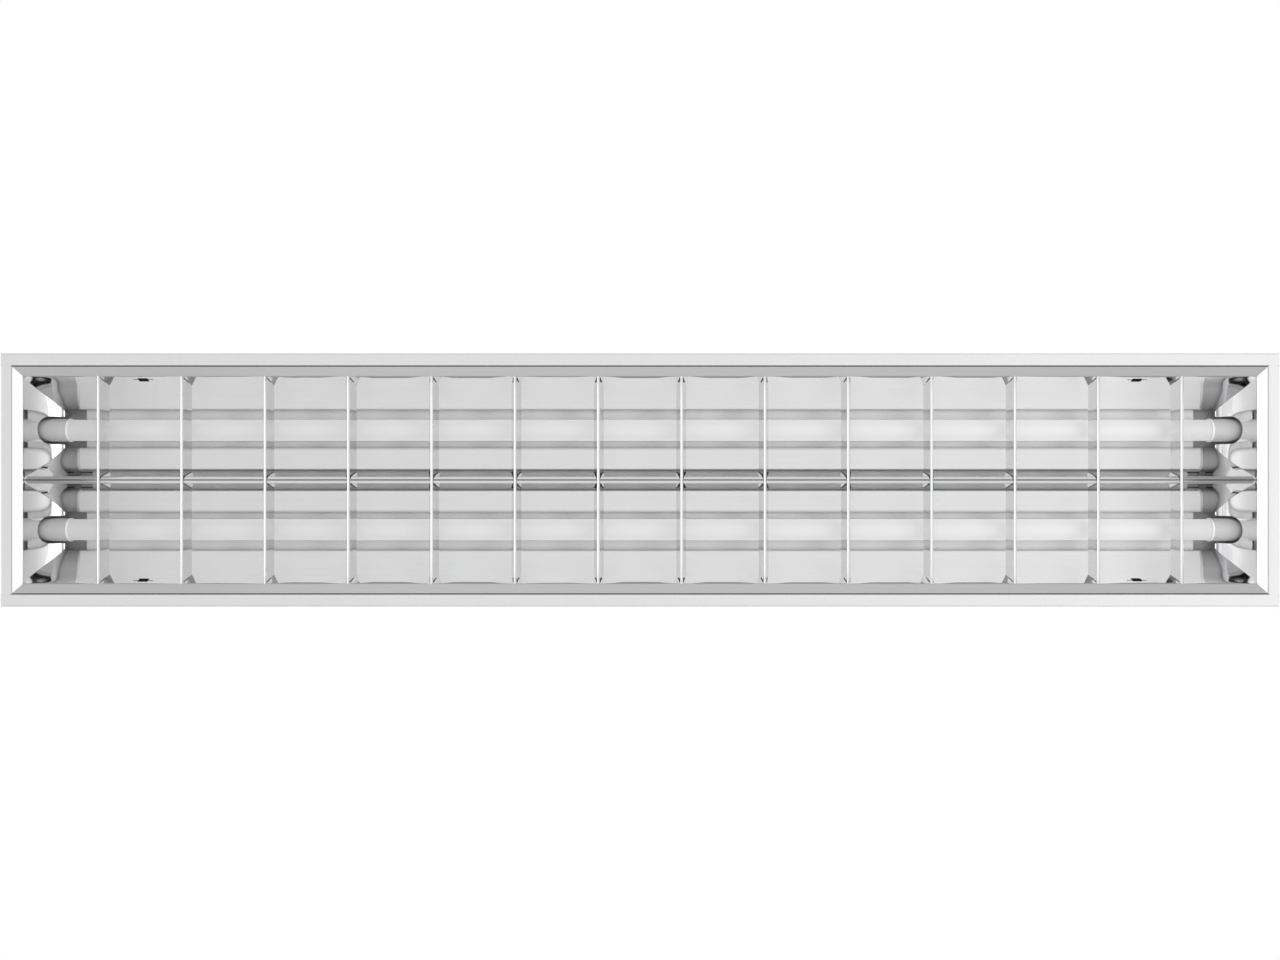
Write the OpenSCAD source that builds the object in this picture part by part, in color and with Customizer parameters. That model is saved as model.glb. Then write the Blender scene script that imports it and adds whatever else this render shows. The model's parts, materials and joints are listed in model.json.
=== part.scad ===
// Surface-mounted luminaire for two straight tube lamps behind a cross-blade louvre.
// The origin is the middle of the ceiling face. X runs along the lamps and Z points up.
// Heights inside the louvre are measured upwards from the face of the white rim.

/* [Lamps] */
// Length of a lamp between its two cap faces
tube_l = 1500; // [1200:10:1500]
// Outer diameter of the frosted tube
tube_d = 26.2; // [24:0.2:27]
// Distance between the two lamp axes
lamp_pitch = 123.6; // [118:0.2:128]
// Depth of the lamp axes below the ceiling face
lamp_drop = 30; // [28:0.5:34]
// Wall of the frosted tube
tube_wall = 0.8; // [0.6:0.1:1.2]
// Length of a lamp cap, from its face to the inner edge of its collar
cap_l = 43.5; // [30:0.5:50]
// Wall of the cap where it sleeves the tube
cap_wall = 0.9; // [0.7:0.1:1.2]
// Thickness of the cap's closed end
cap_end = 6; // [5:0.5:10]
// Width of the raised collar on a cap
collar_w = 3; // [2:0.5:5]
// Height of the collar over the cap
collar_rise = 0.8; // [0.4:0.1:1]
// Radius of the edge round a cap face
cap_edge_r = 1.5; // [1:0.5:3]
// Diameter of a contact pin
pin_d = 2.35; // [2.2:0.05:2.6]
// Length of a contact pin outside its cap
pin_l = 7.1; // [6.5:0.1:7.5]
// Distance between the two pins of a cap
pin_pitch = 12.7; // [12:0.1:13.5]
// Depth that a pin is set into its cap
pin_root = 4; // [3:0.5:4.5]
// Height of the light-emitting board over the lamp axis
led_board_z = 8.5; // [6:0.5:9.5]
// Thickness of the light-emitting board
led_board_t = 1.2; // [1:0.1:1.6]
// Spacing of the light-emitting chips along the board
led_pitch = 30; // [15:1:60]
// Length of a chip along the lamp
led_l = 3.5; // [2:0.1:5]
// Width of a chip
led_w = 2.8; // [2:0.1:5]
// Height of a chip
led_h = 0.8; // [0.6:0.1:1]
// Length of the driver board inside the left cap
driver_l = 62; // [50:1:80]
// Depth of the driver board below the lamp axis
driver_drop = 3; // [2:0.5:4]

/* [Housing] */
// Width of the housing
body_w = 305; // [300:1:325]
// Height of the housing from the rim to the ceiling
body_h = 80; // [77:1:95]
// Sheet steel of the housing
sheet_t = 0.8; // [0.6:0.1:1]
// Distance from a cap face to the outside of the end plate
end_room = 20; // [18:0.5:30]
// Width of the rim along the two long sides
rim_side_w = 15; // [13:0.5:17]
// Width of the rim across the two ends
rim_end_w = 13; // [10:0.5:15]
// Height of the stiffening lip on the rim's inner edge
lip_h = 6; // [5:0.5:7]
// Outer radius of the bends in the sheet
bend_r = 1.6; // [1.2:0.1:2]
// Width of the flange that joins a side to the top sheet
side_flange_w = 10; // [8:0.5:10]
// Width of the welding flanges of an end plate
flange_w = 12; // [8:1:15]
// Distance of a welding flange from the corners of the end plate
flange_inset = 8; // [6:1:15]

/* [Ceiling fixing] */
// Diameter of the four ceiling screw holes
fix_hole_d = 6; // [5:0.5:8]
// Distance of the screw holes from the outer faces of the end plates
fix_inset_x = 170; // [120:5:250]
// Distance of the screw holes from the outer faces of the long sides
fix_inset_y = 32.5; // [31:0.5:36]
// Diameter of the cable entry in the sheet
entry_d = 20; // [18:0.5:22]
// Diameter of the passage through the grommet
cable_d = 10; // [8:0.5:12]
// Distance of the cable entry from the long centre line
entry_y = 45; // [40:1:55]
// Width of the grommet's flange round the entry
grommet_flange = 3; // [2:0.5:4]
// Thickness of the grommet's flange
grommet_t = 2.2; // [1.5:0.1:3]

/* [Gear cover] */
// Sheet of the gear cover
cover_t = 0.6; // [0.5:0.1:0.8]
// Width of the gear cover's flat face
cover_w = 190; // [184:1:196]
// Width of the cover's feet
cover_foot_w = 11; // [11:0.5:13]
// Clearance between the cover and the lamps
cover_gap = 1.4; // [1:0.1:1.8]
// Distance from the cap faces to the ends of the cover
cover_inset = 55; // [50:1:80]
// Distance from the ends of the cover to its outer screws
cover_screw_inset = 15; // [10:1:40]
// Shank diameter of the cover screws and the earth screw
screw_d = 3.5; // [3:0.5:4]
// Head diameter of the cover screws and the earth screw
screw_head_d = 7; // [6:0.5:8]
// Head height of the cover screws and the earth screw
screw_head_h = 2.4; // [2:0.2:3]

/* [Lampholders] */
// Width of a lampholder
holder_w = 24; // [22:0.5:26]
// Depth of a lampholder along the lamp
holder_depth = 13; // [12:0.5:15]
// Height of a lampholder's seat over the lamp axis
holder_rise = 20.4; // [19:0.2:21.4]
// Radius of the turning rotor
rotor_r = 8.6; // [8.2:0.1:9]
// Thickness of the rotor
rotor_t = 3.6; // [3:0.1:4]
// Depth of the rotor chamber
chamber_depth = 8; // [7.8:0.1:9]
// Width of the entry slot for the pins
entry_slot_w = 3.2; // [3:0.1:4]
// Height of the wiring head over the seat
head_h = 6.4; // [6:0.2:7]
// Width of the wiring head
head_w = 8; // [7:0.5:10]
// Length of the wiring head along the lamp
head_l = 8; // [7:0.5:9]
// Width of the sheet bracket that carries the lampholders
bracket_w = 16; // [15:0.5:17]
// Room between a lampholder and the leg of its bracket
bracket_room = 12; // [8:1:16]
// Width of the bracket's feet
bracket_foot_w = 12; // [8:1:14]
// Thickness of a contact spring
contact_t = 0.5; // [0.4:0.1:0.8]
// Width of a contact spring
contact_w = 2.8; // [2:0.2:3]
// Length of a contact spring
contact_l = 18; // [14:1:20]

/* [Louvre] */
// Sheet of the reflectors
foil_t = 0.5; // [0.4:0.1:0.6]
// Sheet of the cross blades
blade_t = 0.4; // [0.3:0.1:0.6]
// Gap between the long rims and the louvre
louvre_gap_side = 2; // [1.2:0.1:3]
// Gap between the end rims and the louvre
louvre_gap_end = 1.2; // [1:0.1:3]
// Width of the mitred strip along the sides
strip_w_side = 10.1; // [8:0.1:12]
// Width of the mitred strip across the ends
strip_w_end = 11.3; // [8:0.1:13]
// Rise of the strip from its outer to its inner edge
strip_rise = 2; // [1:0.1:3]
// Height of the reflectors
louvre_h = 60; // [54:0.5:61]
// Distance from a lamp axis to the top edge of the side reflector
side_gap = 24.5; // [22:0.5:28]
// Distance from a lamp axis to the top edge of the centre reflector
centre_gap = 21.4; // [19:0.2:24]
// Height of the centre reflector's keel over the rim
apex_z = 4; // [3:0.2:5]
// Width of the keel along the centre reflector's lower edge
keel_w = 8.4; // [7:0.2:10]
// Rise of the keel from its seam to its edges
keel_rise = 2; // [1.5:0.1:3]
// Gap between the two legs of the keel's seam
keel_seam_w = 0.6; // [0.4:0.1:1]
// Height of the seam's legs
keel_seam_h = 8; // [6:0.5:12]
// Radius of the keel's folds
keel_r = 0.8; // [0.7:0.1:1]
// Lean of the centre reflector's walls just over the keel, in degrees from upright
centre_lean = 18; // [12:1:22]
// Width of the stiffening edge along the top of the side reflectors
top_edge_w = 3; // [2:0.5:5]
// Amount that the end reflectors curve inwards at the top
end_lean = 24; // [16:1:30]
// Width of the cut-out round a lamp cap
cutout_w = 34.3; // [32:0.1:35]
// Height of the lower end of the cut-out
cutout_z = 28.3; // [24:0.5:31]
// Clearance between the sheets of the louvre
seat_gap = 0.2; // [0.1:0.05:0.3]

/* [Cross blades] */
// Height of a blade
blade_h = 19.5; // [16:0.5:22]
// Width of a blade at its open top
blade_top_w = 11.7; // [9:0.1:14]
// Width of the rounded fold along a blade's lower edge
blade_fold_w = 4; // [3:0.1:5]
// Exponent of the curve of a blade's flanks
blade_curve = 1.6; // [1.2:0.1:2.4]
// Distance from the ends of the trough to the first and last blade
end_cell = 90.4; // [70:0.2:100]
// Gap between the upper corners of a blade and the side reflectors
blade_gap = 1.2; // [0.5:0.1:1.5]
// Gap between the flanks of a blade's notch and the centre reflector
notch_gap = 1; // [0.5:0.1:1.5]
// Height of the tabs over the lower edge of a blade
tab_z = 9; // [7:0.5:11]
// Size of a tab along the reflector's height
tab_h = 4; // [3:0.5:5]
// Length of a tab behind the reflector
tab_l = 2.5; // [2:0.5:4]

/* [Latches] */
// Distance from the trough's ends to the middle of a latch window
latch_inset = 142.5; // [125:0.5:155]
// Width of a latch window
window_w = 12; // [10:0.2:14]
// Height of a window's lower edge
window_z = 6; // [5:0.5:7]
// Size of a window along the reflector's height
window_h = 7; // [6:0.5:8]
// Width of the lanced slit beside a window
slit_w = 24; // [20:1:28]
// Height of the slit
slit_z = 8.5; // [8:0.25:9]
// Width of the slit's cut
slit_h = 1.2; // [0.8:0.1:1.6]
// Thickness of a latch spring
latch_t = 0.5; // [0.4:0.1:0.6]
// Clearance between a latch nose and the sides of its window
latch_gap = 0.3; // [0.2:0.05:0.4]
// Length of the latch's return leg
latch_return = 8; // [6:0.5:12]

/* [Wiring] */
// Diameter of an insulated conductor
wire_d = 2.2; // [1.8:0.1:2.6]
// Height of the conductors over the lampholders' seats
wire_rise = 4.1; // [3.6:0.1:4.4]
// Bend radius of a conductor
wire_bend_r = 8; // [6:0.5:10]
// Length of the terminal block along the lamps
block_l = 38; // [36:1:44]
// Width of the terminal block
block_w = 22; // [20:1:26]
// Height of the terminal block
block_h = 12; // [11:0.5:13.5]
// Spacing of the terminal block's poles
pole_pitch = 12; // [11:0.5:12.5]
// Diameter of the supply openings of the terminal block
supply_d = 4; // [3:0.5:5]
// Depth of the wire openings in the terminal block
wire_seat = 7; // [5:0.5:8]
// Diameter of a clamping screw
clamp_d = 3; // [2.5:0.5:4]
// Distance of the middle wire clips from the cap faces
clip_inset_mid = 370; // [300:10:500]
// Distance of the outer wire clips from the cap faces
clip_inset_end = 30; // [25:1:40]
// Length of a wire clip along its wire
clip_l = 8; // [5:1:12]
// Wall of a wire clip
clip_wall = 1; // [0.8:0.1:1.4]

/* [Hidden] */
blade_count = 14;
$fn = 64;

front = -1;
rear = 1;
left = -1;
right = 1;

curve_steps = 16;
bend_steps = 4;
wire_sides = 8;
fit_gap = 0.05;
part_gap = 0.1;
body_gap = 0.3;
cut_over = 1;

lamp_y = lamp_pitch / 2;
body_l = tube_l + 2 * end_room;
wall_x = body_l / 2 - sheet_t;
rim_y = body_w / 2 - rim_side_w;
rim_x = body_l / 2 - rim_end_w;
tube_r = tube_d / 2;
cap_r = tube_r + cap_wall + fit_gap;
collar_r = cap_r + collar_rise;

louvre_y = rim_y - louvre_gap_side;
louvre_x = rim_x - louvre_gap_end;
trough_y = louvre_y - strip_w_side;
trough_x = louvre_x - strip_w_end;
side_k = (pow(trough_y - lamp_y, 2) - pow(side_gap, 2)) / (louvre_h - strip_rise);
keel_y = keel_w / 2;
keel_top = apex_z + keel_rise;
centre_flare = lamp_y - centre_gap - keel_y - tan(centre_lean) * (louvre_h - keel_top);
cutout_r = cutout_w / 2;
blade_pitch = 2 * (trough_x - end_cell) / (blade_count - 1);
blade_r = blade_fold_w / 2;

cover_z = lamp_drop - tube_r - cover_gap;
cover_l = tube_l - 2 * cover_inset;
cover_screw_x = cover_l / 2 - cover_screw_inset;
cover_screw_y = (cover_w + cover_foot_w) / 2;
cover_screws = [for (x = [-cover_screw_x, 0, cover_screw_x], y = [-1, 1]) [x, y * cover_screw_y]];
fix_holes = [for (x = [-1, 1], y = [-1, 1])
             [x * (body_l / 2 - fix_inset_x), y * (body_w / 2 - fix_inset_y)]];
screw_tip_gap = 0.1;
earth_at = [22, 66];

holder_x = tube_l / 2 + body_gap;
seat_z = lamp_drop - holder_rise;
head_x = holder_x + (holder_depth - head_l) / 2;
wire_z = seat_z - wire_rise;
leg_y = lamp_y + holder_w / 2 + bracket_room;
bracket_y = leg_y + bracket_foot_w;
flange_room = 2;
contact_x = holder_x + rotor_t + 2 * body_gap + part_gap;
contact_y = (pin_pitch + pin_d) / 2 + body_gap;

pole_x = [-pole_pitch, 0, pole_pitch];
pair_gap = 2.6;
outer_pole = pole_pitch + pair_gap;
inner_pole = pole_pitch - pair_gap;
lamp_terminals = [-outer_pole, -inner_pole, 0, inner_pole, outer_pole];
clamp_y = (block_w - wire_seat) / 2;
clamp_h = 3;
clamp_slot_w = 0.6;
clamp_slot_h = 0.8;
lug_t = 0.8;
lug_r = 4.5;
wire_start_y = block_w / 2 - wire_seat + part_gap;
wire_end_x = head_x + head_l / 2 - part_gap;
front_turn = [42, 24];
rear_turn = [110, 40];
earth_turn = [0, 44];
earth_approach = 14;
front_route = [[outer_pole, wire_start_y], [outer_pole, front_turn[1]], front_turn,
               [front_turn[0], -lamp_y], [wire_end_x, -lamp_y]];
rear_route = [[inner_pole, wire_start_y], [inner_pole, rear_turn[1]], rear_turn,
              [rear_turn[0], lamp_y], [wire_end_x, lamp_y]];
earth_route = [[0, wire_start_y], earth_turn, [earth_at[0], earth_at[1] - earth_approach],
               [earth_at[0], earth_at[1] - lug_r]];

capacitor_x = 6;
capacitor_l = 16;
capacitor_r = 4.2;
transformer_x = 28;
transformer_size = [14, 12, 9];
choke_x = 48;
choke_size = [8, 10, 5];

window_top = window_z + window_h;
latch_x = trough_x - latch_inset;
latch_w = window_w - 2 * latch_gap;
latch_tip_y = side_y(window_top) + 2 * foil_t;
latch_tip_z = (window_z + window_top) / 2;
latch_r = 0.7;
mitre_slope = strip_w_side / strip_w_end;
tab_in = side_y(strip_rise + tab_z + tab_h) - blade_gap - 2 * seat_gap;
tab_out = side_y(strip_rise + tab_z) + tab_l;

// Small vector helpers
function unit(v) = v / norm(v);
function to_left(v) = [-v[1], v[0]];
function turned(v, a) = [v[0] * cos(a) - v[1] * sin(a), v[0] * sin(a) + v[1] * cos(a)];

// Arc that replaces the corner p between a and b
function fillet(a, p, b, r, n) =
    let (u = unit(p - a), v = unit(b - p), turn = atan2(cross(u, v), u * v), s = sign(turn),
         centre = p - u * r * tan(abs(turn) / 2) + s * r * to_left(u))
    [for (k = [0:n]) centre - s * r * to_left(turned(u, turn * k / n))];

// Open path with an arc of radius r at each inner corner
function rounded(path, r, n) = [
    path[0],
    for (i = [1:len(path) - 2]) each fillet(path[i - 1], path[i], path[i + 1], r, n),
    path[len(path) - 1]
];

// Offset direction at point i of a path, long enough to keep the sheet's thickness at a corner
function corner_normal(path, i) =
    let (last = len(path) - 1,
         before = unit(path[max(i, 1)] - path[max(i, 1) - 1]),
         after = unit(path[min(i, last - 1) + 1] - path[min(i, last - 1)]),
         n = to_left(unit(before + after)))
    n / (n * to_left(after));

// Closed outline of a folded sheet with the path as one face and its thickness t to the left
function sheet(path, t) = concat(
    path,
    [for (i = [len(path) - 1:-1:0]) path[i] + t * corner_normal(path, i)]
);
function mirrored(path) = [for (i = [len(path) - 1:-1:0]) [-path[i][0], path[i][1]]];

// Half-width of the trough at height z: a parabola round the lamp
function side_y(z) = lamp_y + sqrt(pow(trough_y - lamp_y, 2) - side_k * (z - strip_rise));
// Half-width of the centre reflector at height z: a steep wall that flares towards the top
function centre_y(z) =
    keel_y + tan(centre_lean) * (z - keel_top)
    + centre_flare * pow((z - keel_top) / (louvre_h - keel_top), 3);
// Face of the end reflector at height z
function end_x(z) = trough_x - end_lean * pow((z - strip_rise) / (louvre_h - strip_rise), 2);
// Half-width of a blade at height z over its lower edge
function flank_x(z) =
    blade_r + (blade_top_w / 2 - blade_r) * pow((z - blade_r) / (blade_h - blade_r), blade_curve);
function step_z(low, high, i) = low + (high - low) * i / curve_steps;

// Open paths, from the outside of the strip up to the top edge
side_curve = [for (i = [0:curve_steps]) let (z = step_z(strip_rise, louvre_h, i)) [side_y(z), z]];
side_path = concat(
    [[louvre_y, 0]],
    fillet([louvre_y, 0], side_curve[0], side_curve[1], bend_r, bend_steps),
    [for (i = [1:curve_steps - 1]) side_curve[i]],
    fillet(side_curve[curve_steps - 1], side_curve[curve_steps],
           side_curve[curve_steps] + [top_edge_w, 0], bend_r, bend_steps),
    [side_curve[curve_steps] + [top_edge_w, 0]]
);
end_curve = [for (i = [0:curve_steps]) let (z = step_z(strip_rise, louvre_h, i)) [end_x(z), z]];
end_path = concat(
    [[louvre_x, 0]],
    fillet([louvre_x, 0], end_curve[0], end_curve[1], bend_r, bend_steps),
    [for (i = [1:curve_steps]) end_curve[i]]
);
centre_curve = [for (i = [0:curve_steps]) let (z = step_z(keel_top, louvre_h, i)) [centre_y(z), z]];
centre_half = concat(
    rounded([[keel_seam_w / 2, apex_z + keel_seam_h], [keel_seam_w / 2, apex_z], centre_curve[0],
             centre_curve[1]], keel_r, bend_steps),
    [for (i = [2:curve_steps]) centre_curve[i]]
);
centre_path = concat(mirrored(centre_half), centre_half);
blade_half = concat(
    [for (a = [0:15:75]) [blade_r * sin(a), blade_r * (1 - cos(a))]],
    [for (i = [0:2:curve_steps]) let (z = step_z(blade_r, blade_h, i)) [flank_x(z), z]]
);
blade_path = concat(mirrored([for (i = [1:len(blade_half) - 1]) blade_half[i]]), blade_half);

function blade_name(i) = str("blade_", i < 10 ? "0" : "", i);
function blade_x(i) = -trough_x + end_cell + (i - 1) * blade_pitch;

// A profile of width and height drawn out along X, or of length and height drawn out along Y
module along_x(length) {
    rotate([90, 0, 90]) linear_extrude(length, center = true) children();
}

module along_y(length) {
    rotate([90, 0, 0]) linear_extrude(length, center = true) children();
}

module tube_along_x(r, length) {
    rotate([0, 90, 0]) cylinder(r = r, h = length);
}

module at_rim() {
    translate([0, 0, -body_h]) children();
}

module hole_down(at, d, depth) {
    translate([at[0], at[1], -depth]) cylinder(d = d, h = depth + cut_over);
}

// Space between the side reflectors, drawn in by a gap that widens from low up to the blades' top
module trough_region(low_gap, high_gap) {
    half = concat(
        [[trough_y - low_gap, -cut_over]],
        [for (p = side_curve)
            [p[0] - low_gap - (high_gap - low_gap) * min(1, (p[1] - strip_rise) / blade_h), p[1]]],
        [[side_curve[curve_steps][0] - high_gap, louvre_h + cut_over]]
    );
    polygon(concat(half, mirrored(half)));
}

// Space that the centre reflector takes, widened by gap
module centre_region(gap) {
    half = concat([[gap, apex_z - seat_gap], [keel_y + gap, keel_top - seat_gap]],
                  [for (i = [1:curve_steps]) [centre_curve[i][0] + gap, centre_curve[i][1]]],
                  [[centre_curve[curve_steps][0] + gap, louvre_h + cut_over]]);
    polygon(concat(half, mirrored(half)));
}

// Top sheet of the housing, which lies against the ceiling
module housing_top() {
    color("white") difference() {
        translate([-wall_x, -body_w / 2, -sheet_t]) cube([2 * wall_x, body_w, sheet_t]);
        for (at = fix_holes) hole_down(at, fix_hole_d, sheet_t + cut_over);
        hole_down([0, -entry_y], entry_d, sheet_t + cut_over);
        for (at = cover_screws) hole_down(at, screw_d, sheet_t + cut_over);
        hole_down(earth_at, screw_d, sheet_t + cut_over);
    }
}

// Folded side of the housing: flange welded under the top sheet, wall, long rim and its lip
module housing_side(row) {
    path = [[body_w / 2 - side_flange_w, -sheet_t], [body_w / 2, -sheet_t], [body_w / 2, -body_h],
            [rim_y, -body_h], [rim_y, lip_h - body_h]];
    color("white") mirror([0, row == front ? 1 : 0, 0])
        along_x(2 * wall_x) polygon(sheet(rounded(path, bend_r, bend_steps), -sheet_t));
}

// Pressed end: wall, end rim with its lip, and flanges welded to the sides and the top
module end_plate(end) {
    wall_low = 2 * bend_r;
    rim_path = rounded([[rim_x, lip_h], [rim_x, 0], [body_l / 2, 0], [body_l / 2, wall_low]],
                       bend_r, bend_steps);
    flange_y = body_w / 2 - sheet_t;
    top_flange_y = bracket_y + flange_room;
    color("white") at_rim() mirror([end == left ? 1 : 0, 0, 0]) {
        translate([wall_x, -body_w / 2, wall_low]) cube([sheet_t, body_w, body_h - wall_low]);
        along_y(2 * rim_y) polygon(sheet(rim_path, sheet_t));
        for (side = [0, 1]) mirror([0, side, 0]) {
            translate([wall_x, rim_y, 0]) cube([sheet_t, rim_side_w, wall_low]);
            translate([wall_x - flange_w, flange_y - sheet_t, flange_inset])
                cube([flange_w, sheet_t, body_h - 2 * flange_inset]);
            translate([wall_x - flange_w, top_flange_y, body_h - 2 * sheet_t])
                cube([flange_w, rim_y - top_flange_y, sheet_t]);
        }
    }
}

// White cover over the wiring, which is also the roof seen between lamps and reflectors
module gear_cover() {
    half = [[cover_w / 2, -cover_z], [cover_w / 2, -sheet_t - cover_t],
            [cover_w / 2 + cover_foot_w, -sheet_t - cover_t]];
    path = concat(mirrored(half), half);
    color("white") difference() {
        along_x(cover_l) polygon(sheet(rounded(path, bend_r, bend_steps), cover_t));
        for (at = cover_screws) hole_down(at, screw_d, cover_z);
    }
}

module pan_screw(at, under) {
    translate([at[0], at[1], -under - screw_head_h]) {
        cylinder(d1 = screw_head_d - screw_head_h, d2 = screw_head_d, h = screw_head_h / 2);
        translate([0, 0, screw_head_h / 2]) cylinder(d = screw_head_d, h = screw_head_h / 2);
        cylinder(d = screw_d - 2 * fit_gap, h = screw_head_h + under - screw_tip_gap);
    }
}

module gear_cover_screws() {
    color("silver") for (at = cover_screws) pan_screw(at, sheet_t + cover_t);
}

// Hat-shaped strip under the top sheet that carries both lampholders of one end
module holder_bracket(end) {
    half = [[leg_y, -seat_z], [leg_y, -2 * sheet_t], [bracket_y, -2 * sheet_t]];
    path = concat(mirrored(half), half);
    mirror([end == left ? 1 : 0, 0, 0]) color("white") difference() {
        translate([holder_x + holder_depth / 2, 0, 0]) along_x(bracket_w)
            polygon(sheet(rounded(path, bend_r, bend_steps), sheet_t));
        for (y = [-1, 1])
            translate([head_x - seat_gap, y * lamp_y - head_w / 2 - seat_gap, -seat_z - cut_over])
                cube([head_l + 2 * seat_gap, head_w + 2 * seat_gap, sheet_t + 2 * cut_over]);
    }
}

// Rotary lampholder: rounded body, rotor chamber, pin slot, contact pockets and wiring head
module lampholder(row, end) {
    mirror([end == left ? 1 : 0, 0, 0]) translate([0, row * lamp_y, -lamp_drop]) color("white")
        difference() {
            union() {
                translate([holder_x, 0, 0]) tube_along_x(holder_w / 2, holder_depth);
                translate([holder_x, -holder_w / 2, 0]) cube([holder_depth, holder_w, holder_rise]);
                translate([head_x, -head_w / 2, holder_rise - cut_over])
                    cube([head_l, head_w, head_h + cut_over]);
            }
            translate([holder_x - cut_over, 0, 0])
                tube_along_x(rotor_r + fit_gap, chamber_depth + cut_over);
            translate([holder_x - cut_over, -entry_slot_w / 2, -holder_w])
                cube([chamber_depth + cut_over, entry_slot_w, holder_w]);
            for (side = [-1, 1])
                translate([contact_x, side > 0 ? 0 : -contact_y - contact_t, -contact_l / 4])
                    cube([contact_w, contact_y + contact_t, contact_l]);
            translate([head_x - cut_over, 0, lamp_drop - wire_z])
                tube_along_x(wire_d / 2 + part_gap, head_l / 2 + cut_over);
        }
}

// Two brass springs in each lampholder, beside the turned pins
module lampholder_contacts() {
    color("goldenrod") for (end = [left, right], row = [front, rear], side = [-1, 1])
        mirror([end == left ? 1 : 0, 0, 0])
            translate([contact_x, row * lamp_y + (side > 0 ? contact_y : -contact_y - contact_t),
                       -lamp_drop - contact_l / 4])
                cube([contact_w, contact_t, contact_l]);
}

// Clip of spring steel: sits on the rim's lip and reaches into the reflector's window
module latch_spring(row, end) {
    lip_y = rim_y + sheet_t / 2;
    grip = sheet_t / 2 + part_gap + latch_t;
    top = lip_h + part_gap + latch_t;
    path = [[lip_y + grip, 2 * sheet_t], [lip_y + grip, top], [lip_y - grip, top],
            [lip_y - grip, top / 2 + part_gap], [latch_tip_y + latch_t, latch_tip_z],
            [latch_tip_y + latch_t + latch_return / 2, latch_tip_z + latch_return]];
    color("dimgray") at_rim() mirror([0, row == front ? 1 : 0, 0])
        translate([end * latch_x, 0, 0]) along_x(latch_w)
            polygon(sheet(rounded(path, latch_r, bend_steps), latch_t));
}

module terminal_block() {
    color("ivory") difference() {
        translate([-block_l / 2, -block_w / 2, -sheet_t - block_h]) cube([block_l, block_w, block_h]);
        for (x = pole_x) translate([x, wire_seat - block_w / 2, -wire_z]) rotate([90, 0, 0])
            cylinder(d = supply_d, h = wire_seat + cut_over);
        for (x = lamp_terminals) translate([x, block_w / 2 - wire_seat, -wire_z])
            rotate([-90, 0, 0]) cylinder(d = wire_d + 2 * part_gap, h = wire_seat + cut_over);
        for (x = pole_x, y = [-1, 1]) translate([x, y * clamp_y, -sheet_t - block_h - cut_over])
            cylinder(d = clamp_d + 2 * part_gap, h = clamp_h + cut_over);
    }
}

module terminal_screws() {
    color("silver") for (x = pole_x, y = [-1, 1])
        translate([x, y * clamp_y, -sheet_t - block_h + part_gap]) difference() {
            cylinder(d = clamp_d, h = clamp_h - part_gap);
            translate([-clamp_d, -clamp_slot_w / 2, -cut_over])
                cube([2 * clamp_d, clamp_slot_w, clamp_slot_h + cut_over]);
        }
}

module cable_grommet() {
    color("dimgray") translate([0, -entry_y, 0]) difference() {
        union() {
            translate([0, 0, -sheet_t - fit_gap])
                cylinder(d = entry_d - 2 * fit_gap, h = sheet_t + fit_gap);
            translate([0, 0, -sheet_t - grommet_t])
                cylinder(d = entry_d + 2 * grommet_flange, h = grommet_t);
        }
        translate([0, 0, -sheet_t - grommet_t - cut_over])
            cylinder(d = cable_d, h = sheet_t + grommet_t + 2 * cut_over);
    }
}

module earth_screw() {
    color("silver") pan_screw(earth_at, sheet_t + lug_t);
}

// Insulated conductor that lies at one height along a flat path
module wire(path, z) {
    n = wire_sides;
    last = len(path) - 1;
    heads = [for (i = [0:last]) unit(path[min(i + 1, last)] - path[max(i - 1, 0)])];
    points = [
        for (i = [0:last], k = [0:n - 1])
            let (across = to_left(heads[i]) * cos(360 * k / n) * wire_d / 2)
            [path[i][0] + across[0], path[i][1] + across[1], z + sin(360 * k / n) * wire_d / 2]
    ];
    skin = [
        for (i = [0:last - 1], k = [0:n - 1])
            let (a = i * n + k, b = i * n + (k + 1) % n)
            each [[a, a + n, b + n], [a, b + n, b]]
    ];
    ends = [[for (k = [0:n - 1]) k], [for (k = [n - 1:-1:0]) last * n + k]];
    polyhedron(points, concat(skin, ends));
}

// Two conductors from the terminal block to the lampholders at each end
module lamp_wires() {
    color("sienna") for (end = [left, right]) mirror([end == left ? 1 : 0, 0, 0]) {
        wire(rounded(front_route, wire_bend_r, bend_steps), -wire_z);
        wire(rounded(rear_route, wire_bend_r, bend_steps), -wire_z);
    }
}

module earth_wire() {
    color("yellowgreen") {
        wire(rounded(earth_route, wire_bend_r, bend_steps), -wire_z);
        translate([earth_at[0], earth_at[1], -sheet_t - lug_t]) difference() {
            union() {
                cylinder(r = lug_r, h = lug_t);
                translate([-wire_d / 2, -2 * lug_r, lug_t + sheet_t - wire_z - wire_d / 2])
                    cube([wire_d, 2 * lug_r - screw_head_d / 2 - part_gap,
                          wire_z + wire_d / 2 - sheet_t]);
            }
            translate([0, 0, -cut_over]) cylinder(d = screw_d + 2 * part_gap, h = lug_t + 2 * cut_over);
        }
    }
}

// Open clips under the top sheet that hold each lamp wire at its middle and near its end
module wire_clips() {
    color("ivory") for (end = [-1, 1], row = [front, rear], inset = [clip_inset_mid, clip_inset_end])
        translate([end * (tube_l / 2 - inset), row * lamp_y, -wire_z]) difference() {
            union() {
                translate([-clip_l / 2, 0, 0])
                    tube_along_x(wire_d / 2 + part_gap + clip_wall, clip_l);
                translate([-clip_l / 2, -wire_d / 2, 0]) cube([clip_l, wire_d, wire_z - sheet_t]);
            }
            translate([-clip_l, 0, 0]) tube_along_x(wire_d / 2 + part_gap, 2 * clip_l);
            translate([-clip_l, -wire_d / 4, -wire_d * 2]) cube([2 * clip_l, wire_d / 2, wire_d * 2]);
        }
}

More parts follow.
